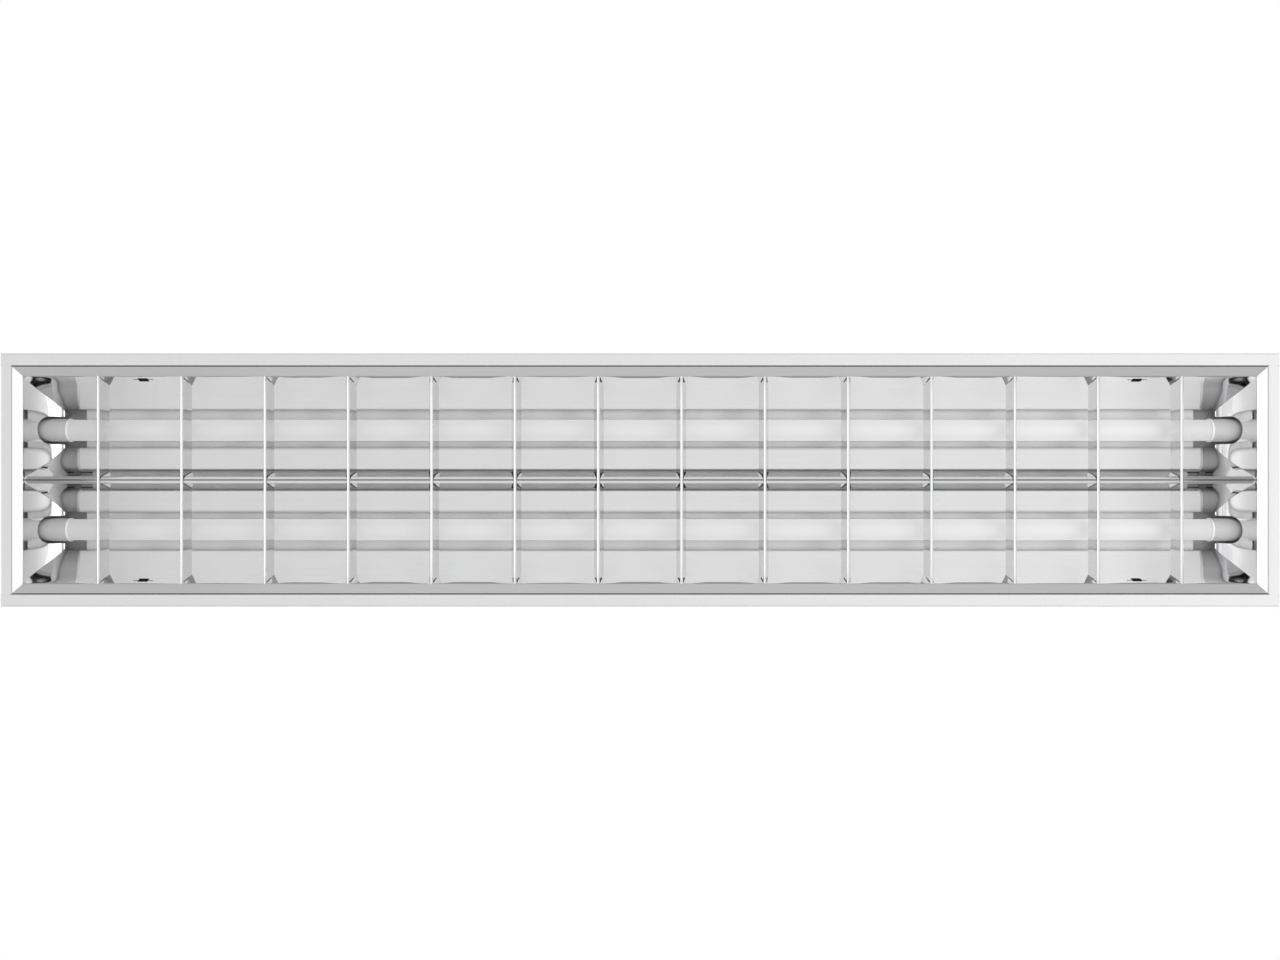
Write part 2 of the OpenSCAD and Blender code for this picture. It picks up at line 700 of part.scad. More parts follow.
// Side reflector: mitred strip, parabolic wall, latch windows and slots for the blade tabs
module side_reflector(row) {
    mitre = [[louvre_x, louvre_y + cut_over], [louvre_x, louvre_y], [trough_x, trough_y],
             [trough_x, 0]];
    color("gainsboro") at_rim() mirror([0, row == front ? 1 : 0, 0]) difference() {
        intersection() {
            along_x(2 * louvre_x) polygon(sheet(side_path, -foil_t));
            translate([0, 0, -cut_over]) linear_extrude(louvre_h + 2 * cut_over)
                offset_x(mitre, -seat_gap / 2);
        }
        for (end = [left, right]) translate([end * latch_x, 0, 0]) {
            translate([-window_w / 2, lamp_y, window_z]) cube([window_w, body_w, window_h]);
            translate([-slit_w / 2, lamp_y, slit_z - slit_h / 2]) cube([slit_w, body_w, slit_h]);
        }
        for (i = [1:blade_count], side = [-1, 1]) translate([blade_x(i), 0, strip_rise]) {
            low_x = flank_x(tab_z) - blade_t - seat_gap;
            high_x = flank_x(tab_z + tab_h) + seat_gap;
            translate([side > 0 ? low_x : -high_x, lamp_y, tab_z - seat_gap])
                cube([high_x - low_x, body_w, tab_h + 2 * seat_gap]);
        }
    }
}

// Plan of a piece that is mirrored about the middle, with its ends moved by dx
module offset_x(half, dx) {
    shifted = [for (p = half) [p[0] + dx, p[1]]];
    polygon(concat(shifted, mirrored(shifted)));
}

// Folded centre reflector between the lamps
module centre_reflector() {
    color("gainsboro") at_rim() along_x(2 * (trough_x - foil_t))
        polygon(sheet(centre_path, foil_t));
}

// End reflector: mitred strip and curved wall, cut out for the lamp caps and the centre reflector
module end_reflector(end) {
    color("gainsboro") at_rim() mirror([end == left ? 1 : 0, 0, 0]) difference() {
        union() {
            intersection() {
                along_y(2 * louvre_y) polygon(sheet(end_path, -foil_t));
                translate([0, 0, -cut_over]) linear_extrude(louvre_h) polygon([
                    [trough_x, trough_y], [louvre_x + cut_over, louvre_y + cut_over * mitre_slope],
                    [louvre_x + cut_over, -louvre_y - cut_over * mitre_slope], [trough_x, -trough_y]
                ]);
            }
            intersection() {
                along_y(2 * louvre_y) polygon(sheet(end_path, -foil_t));
                translate([trough_x / 2, 0, 0]) along_x(trough_x) trough_region(seat_gap, seat_gap);
            }
        }
        for (y = [-lamp_y, lamp_y]) {
            translate([trough_x / 2, y, cutout_z + cutout_r]) tube_along_x(cutout_r, louvre_x);
            translate([trough_x / 2, y - cutout_r, cutout_z + cutout_r])
                cube([louvre_x, cutout_w, louvre_h]);
        }
        translate([trough_x, 0, 0]) along_x(trough_x) centre_region(seat_gap);
    }
}

// Cross blade: folded V strip, notched from above for the centre reflector, with end tabs
module blade(i) {
    color("silver") at_rim() translate([blade_x(i), 0, 0]) {
        difference() {
            intersection() {
                blade_bar();
                along_x(2 * blade_top_w) trough_region(seat_gap, blade_gap);
            }
            along_x(2 * blade_top_w) centre_region(notch_gap);
        }
        for (side = [-1, 1]) intersection() {
            blade_bar();
            translate([-blade_top_w, side > 0 ? tab_in : -tab_out, strip_rise + tab_z])
                cube([2 * blade_top_w, tab_out - tab_in, tab_h]);
        }
    }
}

module blade_bar() {
    translate([0, 0, strip_rise]) along_y(2 * louvre_y) polygon(sheet(blade_path, blade_t));
}

// Pieces of one lamp, drawn along X about its own axis
module lamp_tube() {
    translate([cap_end - tube_l / 2, 0, 0]) difference() {
        tube_along_x(tube_r, tube_l - 2 * cap_end);
        translate([-cut_over, 0, 0]) tube_along_x(tube_r - tube_wall, tube_l);
    }
}

module lamp_led_board() {
    inner_r = tube_r - tube_wall;
    half_w = sqrt(pow(inner_r, 2) - pow(led_board_z + led_board_t, 2)) - part_gap;
    board_l = tube_l - 2 * cap_l;
    count = floor((board_l / 2 - led_pitch) / led_pitch);
    translate([-board_l / 2, -half_w, led_board_z]) cube([board_l, 2 * half_w, led_board_t]);
    for (i = [-count:count])
        translate([i * led_pitch - led_l / 2, -led_w / 2, led_board_z - led_h])
            cube([led_l, led_w, led_h]);
}

// Driver inside the left cap: circuit board, capacitor and transformer
module lamp_driver() {
    inner_r = tube_r - tube_wall;
    half_w = sqrt(pow(inner_r, 2) - pow(driver_drop + led_board_t, 2)) - part_gap;
    translate([cap_end - tube_l / 2 + part_gap, 0, -driver_drop]) {
        translate([0, -half_w, -led_board_t]) cube([driver_l, 2 * half_w, led_board_t]);
        translate([capacitor_x, 0, capacitor_r - part_gap]) tube_along_x(capacitor_r, capacitor_l);
        for (part = [[transformer_x, transformer_size], [choke_x, choke_size]])
            translate([part[0], -part[1][1] / 2, -fit_gap]) cube(part[1]);
    }
}

module lamp_cap() {
    translate([tube_l / 2, 0, 0]) rotate([0, -90, 0]) difference() {
        rotate_extrude() polygon(concat(
            [[0, 0]],
            [for (a = [0:30:90]) [cap_r - cap_edge_r * (1 - sin(a)), cap_edge_r * (1 - cos(a))]],
            [[cap_r, cap_l - collar_w], [collar_r, cap_l - collar_w], [collar_r, cap_l],
             [tube_r + fit_gap, cap_l], [tube_r + fit_gap, cap_end], [0, cap_end]]
        ));
        for (side = [-1, 1]) translate([0, side * pin_pitch / 2, -cut_over])
            cylinder(d = pin_d + 2 * fit_gap, h = pin_root + cut_over);
    }
}

module lamp_pins() {
    for (end = [-1, 1], side = [-1, 1]) mirror([end < 0 ? 1 : 0, 0, 0])
        translate([tube_l / 2 - pin_root, side * pin_pitch / 2, 0])
            tube_along_x(pin_d / 2, pin_root + pin_l);
}

// Rotor that turns with the pins in the lampholder's chamber
module lamp_rotor() {
    slot_w = pin_d + 2 * part_gap;
    slot_far = (pin_pitch + pin_d) / 2 + part_gap;
    translate([holder_x + body_gap, 0, 0]) difference() {
        tube_along_x(rotor_r, rotor_t);
        translate([-cut_over, -2 * rotor_r, -slot_w / 2])
            cube([rotor_t + 2 * cut_over, 2 * rotor_r + slot_far, slot_w]);
    }
}

module lamp_at(row, end, shade) {
    translate([0, row * lamp_y, -lamp_drop]) mirror([end == left ? 1 : 0, 0, 0])
        color(shade) children();
}

housing_top();
housing_side(front);  // housing_side_front
housing_side(rear);  // housing_side_rear
end_plate(left);  // end_plate_left
end_plate(right);  // end_plate_right
gear_cover();
gear_cover_screws();
holder_bracket(left);  // holder_bracket_left
holder_bracket(right);  // holder_bracket_right
lampholder(front, left);  // lampholder_front_left
lampholder(front, right);  // lampholder_front_right
lampholder(rear, left);  // lampholder_rear_left
lampholder(rear, right);  // lampholder_rear_right
lampholder_contacts();
latch_spring(front, left);  // latch_spring_front_left
latch_spring(front, right);  // latch_spring_front_right
latch_spring(rear, left);  // latch_spring_rear_left
latch_spring(rear, right);  // latch_spring_rear_right
terminal_block();
terminal_screws();
cable_grommet();
earth_screw();
earth_wire();
lamp_wires();
wire_clips();
side_reflector(front);  // side_reflector_front
side_reflector(rear);  // side_reflector_rear
centre_reflector();
end_reflector(left);  // end_reflector_left
end_reflector(right);  // end_reflector_right
for (i = [1:blade_count]) {
    blade(i);
}
lamp_at(front, right, "whitesmoke") lamp_tube();  // lamp_front_tube
lamp_at(front, right, "wheat") lamp_led_board();  // lamp_front_led_board
lamp_at(front, right, "seagreen") lamp_driver();  // lamp_front_driver
lamp_at(front, left, "lightgray") lamp_cap();  // lamp_front_cap_left
lamp_at(front, right, "lightgray") lamp_cap();  // lamp_front_cap_right
lamp_at(front, right, "goldenrod") lamp_pins();  // lamp_front_pins
lamp_at(front, left, "white") lamp_rotor();  // lamp_front_rotor_left
lamp_at(front, right, "white") lamp_rotor();  // lamp_front_rotor_right
lamp_at(rear, right, "whitesmoke") lamp_tube();  // lamp_rear_tube
lamp_at(rear, right, "wheat") lamp_led_board();  // lamp_rear_led_board
lamp_at(rear, right, "seagreen") lamp_driver();  // lamp_rear_driver
lamp_at(rear, left, "lightgray") lamp_cap();  // lamp_rear_cap_left
lamp_at(rear, right, "lightgray") lamp_cap();  // lamp_rear_cap_right
lamp_at(rear, right, "goldenrod") lamp_pins();  // lamp_rear_pins
lamp_at(rear, left, "white") lamp_rotor();  // lamp_rear_rotor_left
lamp_at(rear, right, "white") lamp_rotor();  // lamp_rear_rotor_right
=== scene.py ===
import json
import math

import bmesh
import bpy
from mathutils import Matrix, Vector

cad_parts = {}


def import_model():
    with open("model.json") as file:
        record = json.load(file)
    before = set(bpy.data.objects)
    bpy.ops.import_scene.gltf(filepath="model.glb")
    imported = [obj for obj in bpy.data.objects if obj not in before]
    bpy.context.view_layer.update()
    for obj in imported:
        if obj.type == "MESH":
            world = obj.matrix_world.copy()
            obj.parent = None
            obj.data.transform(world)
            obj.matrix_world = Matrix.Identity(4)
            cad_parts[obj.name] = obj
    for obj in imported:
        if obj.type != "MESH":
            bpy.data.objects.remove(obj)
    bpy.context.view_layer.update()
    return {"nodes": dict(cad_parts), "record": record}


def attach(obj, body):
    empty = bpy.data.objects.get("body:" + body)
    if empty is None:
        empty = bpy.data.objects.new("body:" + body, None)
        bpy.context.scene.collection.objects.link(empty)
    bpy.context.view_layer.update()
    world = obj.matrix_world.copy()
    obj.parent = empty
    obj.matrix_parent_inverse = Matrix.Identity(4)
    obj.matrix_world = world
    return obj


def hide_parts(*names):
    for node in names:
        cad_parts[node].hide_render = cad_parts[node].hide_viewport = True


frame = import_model()

# Sizes in mm, as in part.scad. Heights inside the louvre are measured upwards from the face of
# the rim, and distances from the middle of the housing.
MM = 0.001
RIM_Z = -80.0
HALF_L, HALF_W = 770.0, 152.5
RIM_X, RIM_Y = 757.0, 137.5
BEND_R = 1.6
LAMP_Y, LAMP_Z = 61.8, -30.0
HALF_TUBE, TUBE_R = 750.0, 13.1
CAP_L, CAP_END, CAP_R, CAP_EDGE_R = 43.5, 6.0, 14.05, 1.5
COLLAR_R, COLLAR_W = 14.85, 3.0

FOIL_T, BLADE_T = 0.5, 0.4
TROUGH_Y, TROUGH_X = 125.4, 744.5
STRIP_RISE = 2.0
LOUVRE_H = 60.0
SIDE_GAP, CENTRE_GAP, SEAT_GAP = 24.5, 21.4, 0.2
APEX_Z = 4.0
KEEL_Y, KEEL_RISE, KEEL_R = 4.2, 2.0, 0.8
SEAM_H = 8.0
TOP_EDGE_W = 3.0
END_LEAN = 24.0
CUT_R, CUT_Z = 17.15, 28.3

BLADES = 14
BLADE_H, BLADE_TOP_W, BLADE_R, BLADE_CURVE = 19.5, 11.7, 2.0, 1.6
END_CELL = 90.4
TAB_Z, TAB_H, TAB_L = 9.0, 4.0, 2.5

LATCH_X = 602.0
WINDOW_W, WINDOW_Z, WINDOW_H = 12.0, 6.0, 7.0
SLIT_W, SLIT_Z, SLIT_H = 24.0, 8.5, 1.2

# Sizes in mm of the looks alone

# Outline of the louvre, which nearly fills the rim
LOUVRE_Y, LOUVRE_X = 136.6, 756.3
# Centre reflector: angle of its walls from upright over the keel, exponent of their flare,
# half-width of its seam
CENTRE_LEAN, CENTRE_CURVE, SEAM_Y = math.radians(19.8), 3.25, 0.6
# Lower fold of a side sheet, and the facet over it at a blade and where the sheet bows in most
FOLD_R = 1.2
FACET, FACET_LEAST, FACET_TILT = 3.0, 0.6, math.radians(38)
# Bow of the side sheets: distance from a blade where it starts, run to its full depth,
# height where it ends
BOW_START, BOW_RUN, BOW_FADE = 7.5, 26.0, 30.0
# Share of the bow in the cells from the left, and in all that follow or lie outside the blades
BOW_SHARE = (0.15, 0.25, 0.7, 1.0, 1.0, 0.45, 1.05, 0.95, 0.8, 0.8, 0.75, 0.2)
BOW_SHARE_ELSEWHERE = 0.5
# Fold along the top of the side sheets, and the height that it takes
CREST_R, CREST_ROOM = 0.8, 1.2
# End reflectors: lower fold, height where the curved wall starts, corners at the top of the cut-outs
END_FOLD_R, END_START, END_CORNER_R = 1.0, STRIP_RISE + 1.2, 1.5
# Gaps round a blade in the side and centre reflectors, and how far it reaches past their faces
WINDOW_GAP, CENTRE_WINDOW_GAP = 0.7, 1.1
NOTCH_GAP, BLADE_PAST = -0.6, 0.5
# Groove in a cap's face, and the step beside its collar with the distances of its corners
GROOVE_R, GROOVE_W, GROOVE_DEPTH, GROOVE_BEVEL = 9.0, 1.4, 0.4, 0.2
STEP_DEPTH, STEP_CORNERS = 0.12, (1.0, 0.55, 0.25, 0.1)
# Collar ring: depth of its bed, bed's end, sunk part of its bead, gaps over the tube of both
RING_DEPTH, RING_END, RING_SUNK, SLEEVE_GAP, RING_GAP = 0.3, 0.4, 0.2, 0.05, 0.1
# Weld beads: height over the rim's face, and overlap with the rims beside them
WELD_UNDER, WELD_OVER = 0.01, 0.1
# Height of the small step at the foot of a notch, and the gap up to which heights touch
FOOT, TOUCH = 0.02, 0.01

# Steps of the meshes
SIDE_STEPS, CELL_STEPS, CENTRE_STEPS = 68, 24, 72
END_LOW_STEPS, END_HIGH_STEPS, END_WIDTH_STEPS = 26, 12, 8
BLADE_STEPS, BLADE_WIDTH_STEPS = 20, 14
FILLET_STEPS, LONG_FILLET_STEPS = 6, 8
TUBE_STEPS, ROUND_STEPS = 40, 96
# Rows over the strips: shares of the way in along the sides, mm from the edge across the ends
STRIP_SHARES, STRIP_ROWS = (0, 0.3, 0.6), (0, 4, 8)
# Least distance of a column from the trough's end and from a latch window's edges, and of a row
# from a notch's heights and from the keel's fold
END_ROOM, EDGE_ROOM, NOTCH_ROOM, FOLD_ROOM = 3.0, 1.0, 0.3, 0.05

SIDE_K = ((TROUGH_Y - LAMP_Y) ** 2 - SIDE_GAP ** 2) / (LOUVRE_H - STRIP_RISE)
KEEL_TOP = APEX_Z + KEEL_RISE
KEEL_FOOT = APEX_Z - SEAT_GAP
CENTRE_FLARE = LAMP_Y - CENTRE_GAP - KEEL_Y - math.tan(CENTRE_LEAN) * (LOUVRE_H - KEEL_TOP)
BLADE_PITCH = 2 * (TROUGH_X - END_CELL) / (BLADES - 1)
TAB_TOP = STRIP_RISE + TAB_Z + TAB_H + SEAT_GAP


def side_y(z):
    """Distance of the side sheets' parabolic wall at height z."""
    return LAMP_Y + math.sqrt((TROUGH_Y - LAMP_Y) ** 2 - SIDE_K * (z - STRIP_RISE))


def centre_y(z):
    """Distance of the centre reflector's walls at height z."""
    share = max(0.0, z - KEEL_TOP) / (LOUVRE_H - KEEL_TOP)
    return KEEL_Y + math.tan(CENTRE_LEAN) * (z - KEEL_TOP) + CENTRE_FLARE * share ** CENTRE_CURVE


def cleared(z, gap):
    """Half-width at height z of the space that the centre reflector takes, widened by gap."""
    if z <= KEEL_FOOT:
        return 0.0
    return gap + (KEEL_Y * (z - KEEL_FOOT) / KEEL_RISE if z < KEEL_FOOT + KEEL_RISE else centre_y(z))


def end_x(z):
    """Distance of the end reflectors' curved wall at height z."""
    return TROUGH_X - END_LEAN * ((z - STRIP_RISE) / (LOUVRE_H - STRIP_RISE)) ** 2


def flank_x(z):
    """Half-width of a blade at height z over its own fold."""
    share = (z - BLADE_R) / (BLADE_H - BLADE_R)
    return BLADE_R + (BLADE_TOP_W / 2 - BLADE_R) * share ** BLADE_CURVE


def window_x(z, gap=WINDOW_GAP):
    """Half-width at height z of the V-shaped window that lets a blade through a reflector."""
    return flank_x(min(max(z - STRIP_RISE, BLADE_R), BLADE_H)) + gap


def blade_x(i):
    """X of a blade, counted from 1 at the left."""
    return -TROUGH_X + END_CELL + (i - 1) * BLADE_PITCH


def smooth(share):
    """The share from 0 to 1, eased at both ends."""
    return share * share * (3 - 2 * share)


def bow(x):
    """0 where a blade holds the thin side sheet, up to its cell's share where it bows freely."""
    cell = (x - blade_x(1)) / BLADE_PITCH
    if cell < 0 or cell > BLADES - 1:
        near = min(abs(x) - blade_x(BLADES), end_x(BLADE_H) - abs(x))
    else:
        near = min(cell % 1, 1 - cell % 1) * BLADE_PITCH
    known = 0 <= cell < len(BOW_SHARE)
    most = BOW_SHARE[math.floor(cell)] if known else BOW_SHARE_ELSEWHERE
    return smooth(min(1.0, max(0.0, (near - BOW_START) / BOW_RUN))) * most


def angles(last, step):
    """Angles from 0 to last in even steps, given in degrees and returned in radians."""
    return [math.radians(a) for a in range(0, last + 1, step)]


def spread(low, high, steps):
    """Even values from low to high, both ends included."""
    return [low + (high - low) * i / steps for i in range(steps + 1)]


def with_levels(low, high, steps, levels):
    """Even heights from low to high that also hold each of the given levels."""
    room = (high - low) / steps / 3
    even = [z for z in spread(low, high, steps) if all(abs(z - m) > room for m in levels)]
    return sorted(even + [m for m in levels if low <= m <= high])


# Mesh helpers


def fillet(a, p, b, r, n):
    """Arc that replaces the corner p between a and b in a plane path."""
    a, p, b = Vector(a), Vector(p), Vector(b)
    u, v = (p - a).normalized(), (b - p).normalized()
    turn = math.atan2(u.x * v.y - u.y * v.x, u.dot(v))
    s = 1 if turn > 0 else -1
    left = Vector((-u.y, u.x))
    centre = p - u * r * math.tan(abs(turn) / 2) + s * r * left
    out = []
    for k in range(n + 1):
        w = Matrix.Rotation(turn * k / n, 2) @ u
        out.append(centre - s * r * Vector((-w.y, w.x)))
    return [tuple(q) for q in out]


def new_object(name, data):
    obj = bpy.data.objects.new(name, data)
    bpy.context.scene.collection.objects.link(obj)
    return obj


def shade(mesh, angle):
    """Smooth shading that keeps edges over the given degrees sharp."""
    mesh.polygons.foreach_set("use_smooth", [True] * len(mesh.polygons))
    mesh.set_sharp_from_angle(angle=math.radians(angle))


def finish_piece(name, verts, faces, thickness=0.0, angle=35):
    """Mesh from points in mm, welded, thickened behind its visible side and smooth-shaded."""
    mesh = bpy.data.meshes.new(name)
    mesh.from_pydata([tuple(c * MM for c in v) for v in verts], [], faces)
    bm = bmesh.new()
    bm.from_mesh(mesh)
    bmesh.ops.remove_doubles(bm, verts=bm.verts, dist=2e-6)
    bmesh.ops.dissolve_degenerate(bm, edges=bm.edges, dist=1e-6)
    loose = [v for v in bm.verts if not v.link_faces]
    bmesh.ops.delete(bm, geom=loose, context="VERTS")
    bm.to_mesh(mesh)
    bm.free()
    obj = new_object(name, mesh)
    if thickness:
        mod = obj.modifiers.new("thickness", "SOLIDIFY")
        mod.thickness = thickness * MM
        mod.offset = -1.0
        evaluated = obj.evaluated_get(bpy.context.evaluated_depsgraph_get())
        solid = bpy.data.meshes.new_from_object(evaluated)
        obj.modifiers.clear()
        obj.data = solid
        solid.name = name
    shade(obj.data, angle)
    return obj


def grid(rows, keep=None):
    """Vertices and faces of rows of points; keep(i, j) says which cells stay."""
    n = len(rows[0])
    verts = [p for row in rows for p in row]
    faces = []
    for i in range(len(rows) - 1):
        for j in range(n - 1):
            if keep and not keep(i, j):
                continue
            faces.append((i * n + j, i * n + j + 1, (i + 1) * n + j + 1, (i + 1) * n + j))
    return verts, faces


def facing_down(part):
    """The part with its faces turned so that, taken together, they look down."""
    verts, faces = part
    area = 0.0
    for face in faces:
        for a, b in zip(face, face[1:] + face[:1]):
            area += verts[a][0] * verts[b][1] - verts[b][0] * verts[a][1]
    return verts, [face[::-1] for face in faces] if area > 0 else faces


def joined(*parts):
    """One part from several, where a part is a pair of vertices and faces."""
    verts, faces = [], []
    for v, f in parts:
        base = len(verts)
        verts += v
        faces += [tuple(k + base for k in face) for face in f]
    return verts, faces


def lathe(profile):
    """Revolves (x, r) points about the X axis."""
    turns = [2 * math.pi * k / ROUND_STEPS for k in range(ROUND_STEPS + 1)]
    return grid([[(x, r * math.cos(t), r * math.sin(t)) for t in turns] for x, r in profile])


def moved(part, dy, dz, mirror=False):
    """The part shifted along Y and Z, and mirrored to the left on request."""
    verts, faces = part
    verts = [((-x if mirror else x), y + dy, z + dz) for x, y, z in verts]
    if mirror:
        faces = [tuple(reversed(f)) for f in faces]
    return verts, faces


# Louvre


def side_profile(share):
    """(y, z) of a side sheet from the outside of its strip up to its top edge.

    share is 0 where a blade holds the sheet and 1 where it bows in most, which widens the facet
    over its lower fold."""
    levels = [WINDOW_Z, WINDOW_Z + WINDOW_H, SLIT_Z - SLIT_H / 2, SLIT_Z + SLIT_H / 2, TAB_TOP]
    low = (side_y(STRIP_RISE), STRIP_RISE)
    width = FACET_LEAST + (FACET - FACET_LEAST) * share
    knee = (low[0] - width * math.cos(FACET_TILT), low[1] + width * math.sin(FACET_TILT))
    inward = side_y(knee[1]) - knee[0]
    wall = []
    for z in with_levels(STRIP_RISE + FACET, LOUVRE_H - CREST_ROOM, SIDE_STEPS, levels):
        fade = max(0.0, (BOW_FADE - z) / (BOW_FADE - knee[1]))
        wall.append((side_y(z) - inward * smooth(fade), z))
    top = (side_y(LOUVRE_H), LOUVRE_H)
    flange = (top[0] + TOP_EDGE_W, LOUVRE_H)
    crest = fillet(wall[-1], top, flange, CREST_R, FILLET_STEPS)
    strip = [(LOUVRE_Y + (low[0] - LOUVRE_Y) * t, STRIP_RISE * t) for t in STRIP_SHARES]
    fold = fillet((LOUVRE_Y, 0), low, knee, FOLD_R, FILLET_STEPS)
    fold += fillet(low, knee, wall[0], FOLD_R, LONG_FILLET_STEPS)
    return strip + fold + [w for w in wall if w[1] < crest[0][1]] + crest + [flange]


def blade_columns(end, half, others=(), cells=0):
    """X positions from -end to end that hold both edges of every blade's window."""
    edges = [blade_x(i) + s * half for i in range(1, BLADES + 1) for s in (-1, 1)]
    between = [blade_x(i) + BLADE_PITCH * k / cells
               for i in range(0, BLADES + 1) for k in range(1, cells)]
    between = [x for x in between
               if abs(x) < TROUGH_X - END_ROOM and all(abs(x - c) > EDGE_ROOM for c in others)]
    return [-end] + sorted(edges + list(others) + between) + [end]


def in_window(x, half):
    return any(abs(x - blade_x(i)) < half for i in range(1, BLADES + 1))


def side_reflector(row):
    """Curved side sheet with its strip, latch windows, slits and the windows for the blades."""
    name = "front" if row < 0 else "rear"
    others = [s * LATCH_X + t * w / 2 for s in (-1, 1) for w in (WINDOW_W, SLIT_W) for t in (-1, 1)]
    profile = side_profile(0.0)
    slope = (LOUVRE_X - TROUGH_X) / (LOUVRE_Y - TROUGH_Y)
    strip_top, uncut_top = STRIP_RISE + 0.5, STRIP_RISE + 2.0
    rows = []
    for (y, z), (bow_y, bow_z) in zip(profile, side_profile(1.0)):
        mitre = max(0.0, min(y, LOUVRE_Y) - TROUGH_Y) * slope if z <= strip_top else 0.0
        end = TROUGH_X + mitre - SEAT_GAP / 2
        rows.append([(x, row * (y + (bow_y - y) * bow(x)), RIM_Z + z + (bow_z - z) * bow(x))
                     for x in blade_columns(end, window_x(z), others, CELL_STEPS)])

    def keep(i, j):
        z = (profile[i][1] + profile[i + 1][1]) / 2
        x = (rows[i][j][0] + rows[i][j + 1][0]) / 2
        if z < uncut_top:
            return True
        off = abs(abs(x) - LATCH_X)
        if off < WINDOW_W / 2 and WINDOW_Z < z < WINDOW_Z + WINDOW_H:
            return False
        if off < SLIT_W / 2 and abs(z - SLIT_Z) < SLIT_H / 2:
            return False
        return z >= TAB_TOP or not in_window(x, window_x(z))

    verts, faces = facing_down(grid(rows, keep))
    obj = finish_piece("reflector_side_" + name, verts, faces, FOIL_T)
    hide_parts("side_reflector_" + name)
    return obj


def end_strip_rows():
    """(x, z, inner y, outer y, half of the cut-out) over the mitred strip and its fold."""
    fold = fillet((LOUVRE_X, 0), (TROUGH_X, STRIP_RISE), (end_x(END_START), END_START),
                  END_FOLD_R, LONG_FILLET_STEPS)
    strip = [(LOUVRE_X - d, STRIP_RISE * d / (LOUVRE_X - TROUGH_X)) for d in STRIP_ROWS]
    slope = (LOUVRE_Y - TROUGH_Y) / (LOUVRE_X - TROUGH_X)
    rows = []
    for x, z in strip + fold:
        if z <= STRIP_RISE + FOOT:
            outer = TROUGH_Y + max(0.0, x - TROUGH_X) * slope - SEAT_GAP / 2
        else:
            outer = side_y(z) - SEAT_GAP
        rows.append((x, z, 0.0, outer, 0.0))
    return rows


def end_wall_rows(low):
    """The same over the curved wall above the height low, with its U-shaped cut-outs."""
    circle = [CUT_Z + CUT_R * (1 - math.cos(a)) for a in angles(90, 5)]
    crown = [LOUVRE_H - END_CORNER_R + END_CORNER_R * math.sin(a) for a in angles(90, 15)]
    heights = spread(END_START, CUT_Z, END_LOW_STEPS)[:-1] + circle
    heights += spread(circle[-1], crown[0], END_HIGH_STEPS)[1:-1] + crown
    notch = [KEEL_FOOT, KEEL_FOOT + FOOT, KEEL_FOOT + KEEL_RISE]
    heights = sorted([z for z in heights if all(abs(z - m) > NOTCH_ROOM for m in notch)] + notch)
    rows = []
    for z in heights:
        if z <= low:
            continue
        cut = 0.0
        if z > CUT_Z:
            cut = math.sqrt(max(0.0, CUT_R ** 2 - max(0.0, CUT_Z + CUT_R - z) ** 2))
        rise = z - LOUVRE_H + END_CORNER_R
        if rise > 0:
            cut += END_CORNER_R - math.sqrt(max(0.0, END_CORNER_R ** 2 - rise ** 2))
        rows.append((end_x(z), z, cleared(z, SEAT_GAP), side_y(z) - SEAT_GAP, cut))
    return rows


def end_reflector(end):
    """Curved end sheet in four fields, beside the two cut-outs and round the keel's notch."""
    name = "left" if end < 0 else "right"
    rows = end_strip_rows()
    rows += end_wall_rows(rows[-1][1])
    parts = []
    for side in (-1, 1):
        for kind in ("inner", "outer"):
            lines = []
            for x, z, inner, outer, cut in rows:
                a, b = (inner, LAMP_Y - cut) if kind == "inner" else (LAMP_Y + cut, outer)
                lines.append([(end * x, side * y, RIM_Z + z) for y in spread(a, b, END_WIDTH_STEPS)])
            parts.append(facing_down(grid(lines)))
    verts, faces = joined(*parts)
    obj = finish_piece("reflector_end_" + name, verts, faces, FOIL_T)
    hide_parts("end_reflector_" + name)
    return obj


def centre_reflector():
    """Both walls with the keel along their lower edge, open at its seam and round the blades."""
    wall = [(centre_y(z), z) for z in spread(KEEL_TOP, LOUVRE_H, CENTRE_STEPS)]
    lip = [(SEAM_Y, APEX_Z + SEAM_H), (SEAM_Y, APEX_Z)]
    edge = fillet(lip[-1], wall[0], wall[1], KEEL_R, FILLET_STEPS)
    edge += [p for p in wall if p[1] > edge[-1][1] + FOLD_ROOM]
    right = [(*p, BLADE_R) for p in lip] + [(y, z, window_x(z, CENTRE_WINDOW_GAP)) for y, z in edge]
    profile = [(-y, z, w) for y, z, w in reversed(right)] + right
    rows = [[(x, y, RIM_Z + z) for x in blade_columns(TROUGH_X - FOIL_T, w)] for y, z, w in profile]

    def keep(i, j):
        (_, low, half), (_, high, _) = profile[i], profile[i + 1]
        if i == len(right) - 1:
            return False
        if abs(profile[i][0]) < KEEL_Y / 2 or max(low, high) > STRIP_RISE + BLADE_H:
            return True
        return not in_window((rows[i][j][0] + rows[i][j + 1][0]) / 2, half)

    verts, faces = facing_down(grid(rows, keep))
    obj = finish_piece("reflector_centre", verts, faces, FOIL_T)
    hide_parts("centre_reflector")
    return obj


def blade_profile():
    """(x, z) of the right half of a blade, from the middle of its fold up to its open edge."""
    turns = angles(72, 9) + [math.radians(79)]
    fold = [(BLADE_R * math.sin(a), BLADE_R * (1 - math.cos(a))) for a in turns]
    low = KEEL_FOOT - STRIP_RISE
    notch = [(BLADE_R, low), (BLADE_R, low + FOOT)]
    levels = [low + KEEL_RISE, TAB_Z, TAB_Z + TAB_H]
    heights = with_levels(BLADE_R, BLADE_H, BLADE_STEPS, levels)
    return fold + notch + [(flank_x(z), z) for z in heights]


